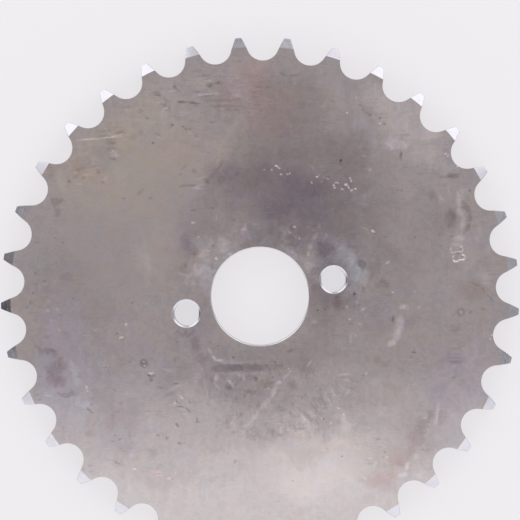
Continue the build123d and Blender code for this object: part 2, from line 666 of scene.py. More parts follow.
# What shows on the front. Each mark is across and up the view from the bore's centre, length and width in
# millimetres, bearing in degrees, and lighter by in levels out of 255. Where it has a colour of its own,
# redder by and bluer by follow.
fields = [
    # broad tones; the dark fields over the upper middle are a painted reflection of the camera, partly real
    # stain, and the light field low down adds to the painted sheen there
    (9, 27, 56, 46, 0, -20, 0, 1), (11, 24, 26, 20, 0, -11, -1, 4), (4, 28, 34, 22, 0, -8, 1, 2),
    (8, 50, 34, 30, 0, -13), (24, 38, 20, 18, -30, -13), (25, 20, 20, 22, 0, -6), (42, 16, 20, 32, 0, -5),
    (46, 43, 10, 9, 0, 9), (31, -5, 10, 13, 0, -6, 0, 2), (-36, -18, 32, 36, 0, 0, 0, 2),
    (20, 4, 20, 34, 0, -17, 0, 2), (21, 8, 34, 44, 0, -7), (-5, 33, 20, 16, 0, -9, 1, 0),
    (-16, 20, 17, 17, 0, -8, 0, 2), (-3, 50, 18, 20, 0, 1, 3, 0), (-2, 58, 20, 17, 0, 0, 5, 0),
    (36, 4, 15, 28, 0, -5), (-54, 3, 26, 30, 0, -6), (-17, -6, 13, 22, 0, -9, 0, 2),
    (41, 46, 30, 24, -45, 16), (31, 52, 14, 12, -40, 10), (48, 20, 12, 14, 0, -7),
    (2, -26, 44, 24, 0, -10, 0, 1), (0, -16, 42, 12, 0, -7), (0, 16, 28, 9, 0, -9), (8, -36, 28, 8, 0, 4),
    (32, 24, 14, 27, 0, -8, 0, -1), (24, 45, 12, 10, 0, -5), (3, 48, 22, 24, 0, -3, 5, -1),
    (-9, 50, 15, 13, 0, -5, 0, -2), (17, 54, 14, 12, 0, 5, 2, -2), (-19, 38, 24, 24, 0, 3, 3, -4),
    (-26, 14, 18, 20, 0, 4, 1, -2), (60, -16, 13, 18, 0, 4, 0, 2), (37, -43, 12, 8, 0, -5, 1, -1),
    (-20, -22, 22, 18, 0, -6, 0, 1), (15, -45, 44, 26, 0, 13, 1, -1), (-26, -48, 22, 12, 0, -5, 1, 1),
    (41, -38, 16, 20, -20, -8, 1, 0), (31, -49, 14, 9, 0, -8, 1, 0), (-36, -36, 26, 22, 0, -6, 0, 2),
    (-52, -20, 22, 52, 0, 0, -1, 6), (-38, 34, 46, 42, 0, 6, 2, -6), (-36, 8, 36, 26, 0, 0, 1, -1),
    (-27, 50, 28, 22, 30, 5, 1, -2), (52, -24, 24, 36, 0, 0, 0, 4), (-9, -22, 22, 18, 0, -7, 0, 1),
    (15, -14, 20, 14, 0, -7, 1, 1), (-24, -13, 9, 8, 0, -5, 0, 2), (25, -26, 11, 10, 0, -7, 0, -1),
    (23, -37, 14, 8, 0, 8, 1, -1), (33, -30, 9, 8, 0, 5), (48, -28, 10, 14, 0, -6),
    (40, -38, 9, 9, 0, 5, 0, 1), (31, -42, 9, 7, 0, -5, 1, -2), (3, -36, 16, 8, 0, -7),
    (12, -42, 16, 7, 0, -6), (-9, -42, 16, 8, 0, 4), (16, -32, 14, 6, 0, -5), (32, 12, 9, 13, 0, -8),
    (24, 10, 7, 6, 0, 5), (16, 12, 7, 10, 0, -4, -1, 2), (-20, 10, 15, 13, 0, -6),
    (-14, 18, 13, 11, 0, -4, 1, -2), (-31, 11, 9, 9, 0, 5), (-42, -4, 15, 16, 0, -5, 0, 1),
    (-41, -27, 11, 10, 0, -5, 0, 1), (-31, -32, 9, 8, 0, 6), (-30, -37, 9, 7, 0, 5), (20, 28, 15, 11, 0, -7),
    (-4, 40, 17, 10, 0, -4, -1, -2), (-40, 38, 11, 11, 0, -5, 0, 2), (-15, 57, 6, 6, 0, 6, 1, -1),
    (-8, 56.5, 6, 6, 0, -6, 0, -1), (9, 52, 16, 7, 0, 4, 0, -1), (40, -7, 8, 7, 0, -5),
    (-55, -4, 7, 16, 0, 4, 0, 2), (55, -16, 8, 10, 0, 5, 0, 1), (55, 12, 8, 13, 0, 5), (48, 33, 8, 7, 0, 6),
    (16, 41, 13, 8, 0, -4), (30, 40, 8, 6, 0, -4),
]
stains = [
    # upper left
    (-46.5, 32.5, 14, 7, -8, -2, 3, -1), (-37, 33, 8, 6, 0, 2, -1, 1),
    (-31.3, 27.5, 2.8, 1.4, 20, -12, 2, 0), (-12.5, 33, 6, 9, 20, -5, 0, 1),
    # top middle
    (-1, 58.5, 12, 8, 0, -2, 3, 0), (-8, 52, 9, 5, 0, -3, 3, 0), (-11.5, 31, 5, 13, -30, -9, 1, 2),
    (-6, 27, 9, 8, 0, 3, 0, 1), (-13, 26, 6, 8, 0, -5, 1, 0), (25.5, 29.5, 12, 6, 0, -8, 0, 2),
    (12, 30, 22, 8, -8, -8, 0, 2), (9, 38, 26, 6, 0, -6, 1, 0), (12, 53, 14, 8, 0, -3, 0, -1),
    (14.9, 27.3, 3.5, 2.4, 0, -7), (3, 22, 12, 6, 10, -4, 0, 2),
    # upper right
    (27, 45, 6, 5, 0, -1, 0, 2), (36.5, 40.3, 9, 5, 0, 3, -1, 2), (-19.6, 15, 5, 7, 0, -6, 0, 3),
    (44.5, 37, 12, 6.5, -10, 7, 3, -1), (27.4, 38.8, 2.2, 1.6, 0, -9, 2, -2),
    (50.2, 34, 7, 5, -40, 5, -1, 0), (53.2, 26.2, 9.5, 2, 83, 9, 0, 1), (45.4, 26.9, 3, 2.2, 0, -8, 1, 0),
    (47.8, 25.9, 2.2, 1.8, 0, 8),
    # left
    (-56.6, 1.8, 3.2, 2.6, 0, -7, 3, 5), (-56.6, -10.6, 3, 2.2, 0, -9, 4, 0),
    (-57, -13.9, 8.4, 2.2, -17, -14, 3, 3), (-51.2, 4.5, 5.4, 3.6, 0, -7, 1, 1), (-29.8, 6.5, 12, 3, 90, 6),
    # round the bore
    (-9.2, 14, 3, 5.6, 0, 6, -1, 2), (-6, 14.6, 3, 4, 0, 6, -1, 2), (-7.5, 11, 8, 3.4, 35, 6, -1, 2),
    (-2.4, 16.4, 5.4, 4, 0, 5, 0, 2), (3, 17.8, 3.4, 5, 0, -9, 0, 2), (10.5, 14.5, 9, 9, 0, -11, 1, 3),
    (-19, 12.5, 7.4, 6.4, 0, -7, 0, 2), (-18.5, -1.5, 8, 6, 0, 8, 0, 1), (-17.7, 3.2, 2.4, 1.8, 0, 7, -1, 3),
    (-19.7, -9.9, 8.4, 2.4, 0, -13, 2, 2), (-17, -12.6, 3.4, 5.6, 0, -15, 2, 2),
    (-15.2, -16.6, 4, 4.4, -30, -11, 1, 2), (22.6, 11, 9, 8, 0, 12, -2, 2), (23.6, 1, 6, 4, 0, 10, -1, 2),
    (20.5, -1.5, 3.6, 5, 0, -13, 0, 1), (17, -8, 9, 7, 0, -6, 1, 1), (18.5, 15.5, 7, 3, -20, 4, -1, 3),
    (-5, 17, 9, 5, 0, 6, -1, 3), (-14, 4, 5, 12, 0, 6, -1, 3), (25.2, 6, 6, 10, 8, 12, -3, 2),
    (14.3, 2.4, 2.6, 2.2, 0, -9, 2, -1), (32.3, 3.3, 4.6, 3.4, 0, -13, 3, 0),
    (33.8, .8, 3.4, 2.4, 0, -4, 3, 0), (51.8, -8.6, 5, 4.6, 0, -7, 0, 1), (59.5, 5, 6, 3.6, -45, 8, -1, 2),
    # right
    (42.2, 7.4, 4.6, 3, 0, -3, 3, 0), (56.2, 1.6, 9, 7.4, -20, -9, 2, -1), (59.4, 1.4, 4, 5, 0, -3, 3, 0),
    (52, -16.4, 8, 5.4, 0, -6, 1, 2),
    # below the bore
    (-8, -17.2, 8, 2.4, -2, 5, 0, 2), (2, -23, 4, 4.4, 0, -12, -1, -3), (-.5, -25.6, 5.6, 2.2, 0, -11, 3, 0),
    (8.5, -23.7, 4, 3.6, 20, -12, 2, 0), (12.5, -19.6, 5.4, 2.6, 0, -10, 2, 1),
    (12.4, -26.3, 3.6, 3, 0, 2, -2, 1), (7.3, -26.8, 3.2, 3, 0, -5, 2, -1), (-9, -21.4, 2, 2.4, 0, -8, 1, 0),
    (-6.2, -21.5, 2.2, 2.6, 0, -8, 1, 0), (-2.8, -21.2, 2.6, 2.6, 0, -6, 3, 0),
    (-8.2, -24.3, 2.4, 2.6, -40, -9, 1, 0), (-8.4, -32.6, 2.4, 5, 0, -8, 1, 1),
    (-1.6, -36.8, 6, 3, 5, -9, 1, 1), (-2, -33, 4.4, 4.6, 0, 7, 0, -2), (3, -36, 3.4, 3.6, 0, -7, 0, 4),
    (15.5, -27.5, 4.6, 5, -30, -7, -1, -3), (20.5, -31.8, 3.4, 2.4, 0, 6, 1, 1),
    (23.3, -29.3, 4, 2.8, 0, -7, 1, -2), (23.8, -32.8, 2, 1.5, 0, -9, 4, 0), (25.1, -35.4, 1.4, 3.4, 0, -8),
    (22.5, -23.9, 4.6, 2.4, 0, 7), (31, -17, 2.8, 2.6, 0, -9, 1, -2), (33.4, -17.6, 3.4, 2.4, 0, -7, 3, -1),
    (30.2, -22.6, 4.4, 2.8, 0, 5, 0, 2), (-16.6, -21.2, 3, 7, 0, 8, 0, 3),
    # lower left
    (-54.6, -19.8, 6.6, 8, 0, -15, 3, 0), (-53.2, -22.8, 5.4, 3.6, 0, -10, 4, 2),
    (-57, -20.2, 2.6, 3.2, 0, 5, 0, 2), (-54.8, -15, 5.4, 2.6, -20, -10, 2, 1),
    (-48.2, -27, 2.6, 5, 0, 9, -1, -3), (-46.2, -28.6, 3.6, 3, 0, 7, -1, 4),
    (-44.6, -32.6, 3.6, 2.6, 0, -3, 6, -1), (-44, -34.2, 2, 1.5, 0, -10, 1, -1),
    (-45.2, -36.2, 2.8, 3, 0, -10, 1, 0), (-39.2, -32.6, 3.4, 5.6, -20, -6, 4, -1),
    (-42.6, -38.6, 5, 3, 0, 1, 0, 3), (-33.8, -41.2, 2.2, 2.8, 0, 6, 3, 3),
    (-36.8, -47.2, 2.4, 2.4, 0, -8, 1, -2), (-28.3, -41.6, 4, 4, 0, -4, -2, -1),
    # bottom
    (-27, -47.2, 5.4, 4.2, 0, 1, 4, 0), (-13, -48.4, 5.4, 1.9, 0, -6, -1, 1),
    (14, -39.3, 2.6, 2, 0, 2, 1, -2), (44.9, -31.2, 2.4, 5, -8, -12, 2, -1),
    (43.7, -33.6, 4.4, 3, 35, -6, 1, 0), (42.1, -32.8, 2.6, 2.8, 0, -4, 1, 0),
    (35.6, -43.2, 5, 6, 40, -2, 4, 0), (41, -38, 6, 11, -28, -6, 2, 0), (47.9, -32.5, 1.6, 5.6, 0, -7, 1, 1),
    (32.5, -48, 11, 5, 20, -5, 7, 0), (35.2, -45.8, 3.6, 3.4, 0, -1, 1, -4),
    (36.8, -43.8, 5, 4, 30, -5, 3, 0), (42.5, -47, 5, 3.4, 0, 7, -1, 0),
    (23.5, -47.9, 3.4, 2.4, 0, 2, -1, 0),
]
smears = [
    (52.6, 25.4, 5, 2.2, -78, 12, 0, 1), (53.1, 22.1, 3.6, 2.1, -58, 14, 0, 2),
    (53.6, 19.2, 4.6, 2, 76, 16, 0, 2), (52.7, 15.4, 4.6, 2, 0, 14, 1, 4), (51.8, 13.8, 4, 1.6, 0, 11, 0, 3),
    (54.5, 27.6, 1.4, 3.6, 0, 7, 0, 1), (50.4, 20.6, 8, 4.6, 90, -15, 1, 0), (51.5, 21.2, 4, 1.8, -75, -8),
    (49.9, 18.6, 2.4, 1.4, 80, -6), (50.7, 15.9, 1.9, 1, 0, -14, 0, 1), (53.7, 25, 2.8, 1.3, -10, -12, 2, 0),
    (53.7, 23.5, 1.5, 1.5, 0, -14, 1, 0), (54.9, 23.4, 4, 2.2, -70, -15, 1, 0),
    (55.6, 20.8, 3.6, 2, -85, -17, 1, 0), (55, 18.2, 3.6, 1.8, 66, -16, 1, 0), (54, 16.8, .8, .8, 0, -9),
    (49.9, 13.1, .6, 1.6, 0, -8), (52.4, 11.4, 3.4, .6, 3, -9), (51, 32, 4.4, 2.4, -5, -24, 1, 0),
    (48.9, 31.7, 4.6, 1.3, 6, -15, 1, 0), (44.2, 32.6, 9, .8, 3, -5), (28.6, 48.3, 3.4, 1.6, -25, -9),
    (27.5, 50, 3, 1.4, -30, -7), (31.8, 47.2, 1.6, 1.2, 0, -8), (32.9, 45.9, 1.8, 1.6, 60, -9),
    (37.2, 42.7, 4.8, 1.4, -10, -7), (37.3, 37.4, 1, 3.4, 0, -9), (-39.6, 40.9, 3.8, 3, 0, -6),
    (-38.4, 38.3, 2.8, .8, -30, 9), (-40, 39.1, 1.8, .9, 20, -8), (-31.5, 43.3, 2.6, 2.6, 0, -7),
    (-27, 53.6, 3.2, .7, -6, -11), (-24.6, 52, 3, .9, -58, -11), (-22, 48, 2.6, 4.4, 10, -6),
    (-22.6, 55.6, 1.4, 3, 0, -8), (37, -7.4, 6.4, 3.4, 84, 20, 1, 2), (36.2, -10.4, 4.4, 3.2, 62, 16, 1, 2),
    (38, -2.8, 4, 2.6, 0, 13, 1, 1), (34.9, -12.4, 3.6, 2.4, 20, 22, 1, 1), (35.2, -5.8, 3, 1.1, 80, -14),
    (24.8, .6, .9, 1.8, 0, -13), (27.4, 1.8, 1.4, 1.7, 0, -13), (26.1, .2, .8, 2.8, 0, 9),
    (25, -2.4, 1.3, 1.5, 0, -10), (23, -2.8, 1.1, 1.8, 10, 8), (23.6, -5.9, 1.3, 1, 0, 9),
    (24, -7.2, 1.9, 1, 0, -10), (20.6, -2.4, 4.4, 3.6, 0, -7, 1, 1), (17, -2.9, 2.6, 1.4, 0, -5, -1, 3),
    (28.1, -5.2, 2.4, .7, 60, 8), (16.8, 34.4, 3.4, .6, -22, 8), (21.2, 34, 2, .8, 0, 11),
    (27.6, 37.1, 1.6, .8, 0, 10), (28.9, 33.4, 1.6, .9, 0, 9), (21.2, 35.2, .5, 1, 0, -16),
    (14.7, 31.2, .5, 2, 10, -9), (-4.2, 17.8, 2, 1.3, 0, 12), (-6.2, 17.3, 1.4, 1.1, 0, 10),
    (-1.4, 19.1, 1.4, 1.1, 0, 10), (-.1, 18.1, 1.4, 1.1, 0, 8), (15.65, 18.45, 2.8, 1.4, 78, 15),
    (14.6, 15.95, 3.3, 1.4, 59, 15), (13.4, 13.3, 3.1, 1.4, 73, 15), (12.75, 11.4, 1.8, 1.3, 67, 15),
    (19.1, 23, 1.2, .9, 0, 9), (17.6, 16.2, 1, 1.6, 0, 13), (17.5, 21.5, 1.6, 1.2, 0, -9),
    (20.4, 14.1, 1.2, .8, 0, 12), (21, 12.8, 1.2, .7, 0, 10), (8.5, 11.7, 1.4, .9, 0, 14),
    (12.5, 7.7, 1.4, 1.2, 0, 14), (15.1, 4.5, 1.4, 1.2, 0, 13), (17.5, 8.4, 1.4, 1.2, 0, 13),
    (14.3, -6.8, 2.8, 1.1, 0, 11), (24, -11, 4.4, .8, 90, 12), (25.1, -10.2, 2.4, .6, -45, 11),
    (26.5, -7.4, 1.2, 1, 0, 14), (26.4, 8.5, 1.2, 1, 0, -12), (29.4, 5.3, .8, 1.6, 0, -14),
    (-11.5, 21, 2.6, .7, 90, 9), (-20.6, 5.95, 3.1, .8, -15, 11), (-29.9, -1.9, 1.3, 1, 0, 10),
    (-18.8, -15.3, 1.6, 1, 0, 8), (-13.3, -14.4, 2.6, 1, -60, 18), (-12, -16.1, 1.9, 1, -40, 20),
    (-10.9, -16.85, 1.9, .8, -5, 18), (-16.2, -17.9, 2.4, .8, -35, 12), (-15.4, -19.2, 2, .8, -80, 10),
    (-56.1, -3.7, 1.6, 1.1, 0, 12), (-53.7, -3.6, 1.4, 1, 0, 11), (-55.3, -6.4, 1.4, 1, 0, 11),
    (-53.2, -8.8, 1.4, 1, 0, 11), (-58.9, -26, 2.2, 1, 15, -9), (-58.4, -27.4, 3.1, .7, 0, -10),
    (-56.2, -26.2, 3.4, 1.1, -8, 9), (37.7, -2.8, 2.4, 1.3, 10, 14), (42.1, -2.9, 1.4, 1.1, 0, 12),
    (-21.1, 32.4, 1.2, .9, 0, -12), (-11, 34.9, 1.1, .8, 0, 14), (29, 33.5, 1.6, 1, 0, 8),
    (27.4, 37, 1.3, .9, 0, 9), (-11.4, -21.4, 1.4, 2.8, 5, 13), (-12.8, -22, 1.1, 2.4, 5, -11),
    (-7.9, -22.7, 1, 4.2, 38, 10), (-4.3, -21.4, .8, 2.7, 0, 6, 8, 2), (-1, -22.1, 1.4, 2.4, 0, -11),
    (-6.2, -27.1, 1.1, 1.8, 0, -10), (-4.2, -26.3, .9, 1.1, 0, -8), (-2.6, -29, 1.3, 1.2, 0, -9),
    (-.6, -29, 1.3, 1.1, 0, -10), (-4.9, -31.3, 1.2, 1.5, 20, -12), (-1.6, -30.8, 1.1, 1.4, 0, -8),
    (-7.2, -36, 1.6, 1.6, 0, -9), (-13.9, -25.8, 1, 2.2, 0, 9), (-13.6, -28.5, 1.7, 1.3, 0, -9),
    (-12.6, -27.4, 1.2, .9, 0, 9), (-11.5, -34.2, 1.3, 1.7, 0, -8), (2.3, -24.4, 1.5, .8, -15, 12),
    (10.4, -35, 5.2, .8, 3, -9), (5.5, -36.6, 2.8, 1.3, 20, -10), (11.5, -34.9, 2.4, .7, 0, -8),
    (1.4, -37.4, 1.6, 1.2, 0, -8), (16.9, -37.1, .9, 1.5, 0, -9), (44.5, -40.6, 3, 1.4, 10, -6, 0, 6),
]
scratches = [
    # rolled or dragged lines, upper left
    (-45.9, 41.6, 8, .5, 3, 22), (-38.6, 42.4, 7.8, .5, 9.5, 22), (-41.5, 42.5, 3.4, .5, 8, -18),
    (-39.7, 43.85, 2.4, .5, -31, -18), (-36.9, 43.35, 4.2, .5, 1, -18), (-20.8, 51.45, 3.4, .9, -10, -26),
    (-17.2, 51.1, 5, .9, -3, -27), (-24.75, 49.45, 1.4, .6, -6, -19), (-27.1, 53.2, 3.2, .6, -8, -19),
    (-25.4, 52.2, 2, .6, -62, -19), (-15.9, 53.3, 2.2, .5, -6, 16), (-36.1, 26, 1.8, .7, 0, -17),
    (-18.1, 29.4, 4.2, .7, 0, -18), (-16.4, 28.6, 3.2, .6, 0, 16), (-17.7, 22.9, 2.2, .6, 0, -19),
    (-39, 38.6, 1.4, .5, -50, 20), (-38, 37.5, 1.2, .5, -50, 20),
    # top
    (6, 58.9, 2.9, .8, -25, -16), (9.1, 58.5, 4.8, .8, 3, -16), (-5.85, 52.4, 3.4, .6, 0, -13),
    (-.45, 55.5, 3.2, .6, 0, -13), (-1.65, 54.05, 5, .6, 0, -13), (-8.5, 49.7, 2.9, .6, 0, -13),
    (-4.4, 50, 1.4, .6, 0, -10), (-11.45, 53.9, 2.4, .5, 0, 11), (-13.8, 53.4, 2.9, .5, 0, 11),
    (9.1, 56.3, 1.1, .7, 0, 11), (13.6, 56.7, 1.1, .7, 0, 11), (14, 33.95, 3.4, .45, -62.6, 13),
    (25.6, 52.4, 1.2, .5, 0, 22), (37.25, 37.6, 2.5, .8, 90, -14), (27.9, 17.9, 3.6, .7, -18, 15),
    (23.5, 10.1, 1.8, .6, 10, 13),
    # left and right edges
    (-52.1, 14.3, 1.6, .6, 0, -20), (-59, 14.4, 1.8, .6, 0, -20), (-54.2, 15.5, 1.6, .6, 0, -15),
    (-60.7, -1.45, 1.9, .6, -58, -17), (-56.85, 3.2, 2.2, .6, 19, 16), (56.8, 3.3, 4.4, .7, -25, -13),
    (59.2, 1.7, 2.5, .7, -51, -14), (61.1, -.55, 4.2, .7, -48, -14), (59, -3.3, 3.4, .7, -10, -13),
    (55.8, -4.1, 1.9, .7, 45, -15), (51.3, -13.7, 5.4, .6, 0, -12), (51.2, -15.3, 7, .5, 2, -8),
    (51.3, -16.25, 7, .55, 2, -11), (51.6, -17.25, 5.4, 1, 2, -12), (51.8, -18.3, 2.9, .7, 0, 11),
    (51.3, -19.5, 1.1, .6, 0, -14), (51.3, -21.3, 1.8, .8, 25, -15), (35.2, -6.2, 2.9, .7, 81, -14),
    (8.1, -14.3, 3.9, .9, 14, -18, 5, 0), (46.8, -31.2, 6.8, .8, 87, 9),
    # below the bore
    (5.1, -20.3, 2.9, .9, -63, -14, 5, 0), (5.5, -29.2, 2.4, .7, -8, -14),
    (11, -26.8, 1.8, .5, 90, -14, -2, -1), (12.8, -31.8, 6, .6, -46, -9),
    (13.3, -31.2, 4.6, .5, -48, 10, 3, 0), (12, -31.4, 4.2, .5, -48, 8, 3, 0),
    (13.1, -28.2, 2.1, .7, -40, -11), (14.6, -29.6, 4, .5, -50, -8), (16.2, -27.6, 4.4, .6, -62, 8),
    (23.4, -25.4, 1.8, .7, 50, 12), (22.3, -20.6, 2.4, .6, 5, 8), (22, -21.8, 3, .6, 8, -9),
    (24.6, -22.4, 3.4, .7, -20, -8), (26.2, -25.8, 2.4, .6, 8, 10), (-22, -16.2, 3, .7, 0, -13),
    (-26.4, -24.1, 3.1, .8, -5, -15), (-20, -31.1, 2.2, .5, 0, 12), (-21, -29.15, 3, .75, -2, -24),
    (-18.9, -30.05, 2.8, .75, -43, -24), (-18.85, -27.6, 2.1, .65, -60, -23),
    (-45, -30.2, 3.6, .8, -36, -24, 0, 5), (-38.6, -24.7, 1.9, .7, -35, -12, 2, 1),
    (-38, -43.9, 3.7, .8, -41, -18), (-38.6, -43.3, 3.4, .6, -41, 8), (-34.5, -36.8, .9, 2.6, 0, -10, 3, 0),
    (-34.4, -17.4, 1.7, .6, 0, -12), (-45.1, -44.7, 1.8, .8, -10, -15), (-44.8, -46.3, 1.3, .6, 0, -14),
    (17.7, -40.3, 1.8, .6, -45, -15), (31.3, -37.7, 2.4, .8, -8, -14), (33.2, -38.6, 3, .5, -30, 9),
    (32.4, -39.4, 3.4, .5, -35, 8), (27.7, -48.1, 2.8, .7, -43, 16, 3, 0), (-27, -46.5, 3.4, .5, 0, 8, 6, 0),
    (-26.8, -47.4, 3, .5, 0, 9, 6, 0), (-26.2, -44.4, 2.4, .9, -8, -9, 2, 1),
    (-27.2, -45.5, 2.6, .5, 0, -8, 3, 0),
]
flecks = [
    # painted glints on the rims of small dings, in the dark stain
    (1.1, 33.6, .9, .55, -8, 48), (3.05, 33.6, .9, .55, 0, 62), (4.2, 34.5, .95, .7, 0, 78),
    (4.8, 34.2, 1.2, .5, -40, 62), (5.2, 33.8, .8, .5, -20, 50), (5.45, 32.35, .85, .7, 0, 74),
    (7.3, 32.4, 1, .7, 0, 68), (7.9, 32.6, .7, .6, 30, 60), (13.7, 30.2, .65, .95, 0, 62),
    (15.1, 31.65, 1.1, .6, 35, 74), (15.7, 32.2, .5, .6, 0, 36), (17.9, 31.1, .9, .6, 0, 48),
    (16.9, 31.4, 1.2, .4, -18, 20), (16.3, 30.5, .8, .6, 0, 18), (20.3, 29.95, 1.6, .6, -6, 58),
    (19.5, 29.4, .7, 1.2, 0, 64), (19.8, 28.75, 1, .6, 15, 60), (21.9, 28.35, 1.4, .6, -25, 56),
    (22.8, 29.6, 1.3, .95, 0, 84), (23.5, 28.9, .65, 1.5, 15, 66), (24.3, 28.1, 1.2, .55, 5, 62),
    (25.3, 28.5, 1, .6, 22, 70), (23.7, 31.3, .65, .7, 0, 66), (24.1, 30.7, .6, 1, 25, 60),
    # elsewhere
    (23, 48.7, .8, .7, 0, 46), (31.7, 45.8, .9, .6, 0, 34), (49.05, 37.7, .7, .6, 0, 48),
    (49.7, 37.2, .6, .5, 0, 42), (52.3, 34.3, .7, .5, 0, 40), (29.9, 17.3, 1.6, 1, -20, 58),
    (-35.5, -7.4, 1.1, .8, 0, 34), (-36.75, -10.9, 1.2, .8, 0, 40), (-43.6, -9, .8, .6, 0, 15),
    (-17.7, 19.5, 1.5, .9, 0, 30), (-16.3, 15.7, 1.1, .8, 0, 26), (-11.6, 10.1, .7, .6, 0, 36),
    (-9.6, 10.4, .6, .5, 0, 30), (-8, 11.2, .6, .5, 0, 30), (9.1, 18.4, 1.3, 1, 0, 58),
    (7.9, 16.9, 1, .8, 0, 40), (10.5, 15.3, 1, .7, 0, 36), (27, 21.9, .9, .6, 0, 17),
    (30.3, 25, .9, .6, 0, 14), (33.9, 9.1, 1.8, 1.1, 30, 30), (35.2, 1.1, 1, .8, 0, 30),
    (27.3, -3.4, 1.9, 1.4, 20, 23), (25.7, -1.3, 1, .7, 0, 20), (23.1, -2.6, 1, .9, 0, 20),
    (23.7, -6, 1, .7, 0, 20), (40.9, 1.2, .8, .6, 0, 16), (53.2, -4.1, 1.3, 1.3, 0, 22),
    (61.4, -10.2, .9, .7, 0, 40), (60.9, -11.2, .8, .6, 0, 34), (7.7, -19.15, .6, .6, 0, 40),
    (22.2, -31.3, .8, .7, 0, 32), (20.75, -29.5, 1.3, .6, -15, 22), (19.6, -26, .6, 1.1, 0, 12),
    (28.2, -20.2, .9, .8, 0, 25), (18.7, -33.5, 1.1, 1, 0, 18), (16.2, -32.3, .6, 1, 0, 15),
    (-45.9, -23.9, 1.1, 1.1, 0, 24), (-45.8, -24.9, .8, .9, 0, 15), (-33.2, -45.7, 1, .6, 0, 20),
    (-30.7, -17.2, 1.3, .6, 0, 44), (-30.6, -18.25, 1.3, .6, 0, 42), (-28.8, -20.4, 2.1, .8, -10, 48),
    (-20.8, -26.8, 1.8, .85, -40, 26), (-22.6, -28.3, .9, 1.3, 0, 20), (-22.4, -34.6, 1.4, .5, -45, 10),
    (-41.4, -18.4, .6, .5, 0, 28), (-40.7, -18.9, .6, .5, 0, 24), (-40.4, -18.3, .5, .5, 0, 20),
    (-37.3, -28, .6, .8, 0, 18), (-36.4, -28, .5, .5, 0, 16), (-36.9, -46.8, .8, .8, 0, 10),
    (-36.4, -38, 1.2, .6, 20, 9), (43.6, -32.2, 1.6, .8, 0, 14, 4, 0), (39, -44.8, 1.3, 3.4, -15, 14),
    (37.8, -47.2, 4.6, 1.6, 15, 11), (41.2, -42.3, 2.2, 1.8, 40, 9), (-24.2, -48.2, 1.6, 1, 0, 12),
    (-22.3, -46.6, .7, .6, 0, 12), (29.2, -42.8, 1.6, .8, 0, 12), (30.5, -44.3, 1.2, 3.2, -10, 7),
    (33.6, -42.5, .8, .9, 0, 12),
]
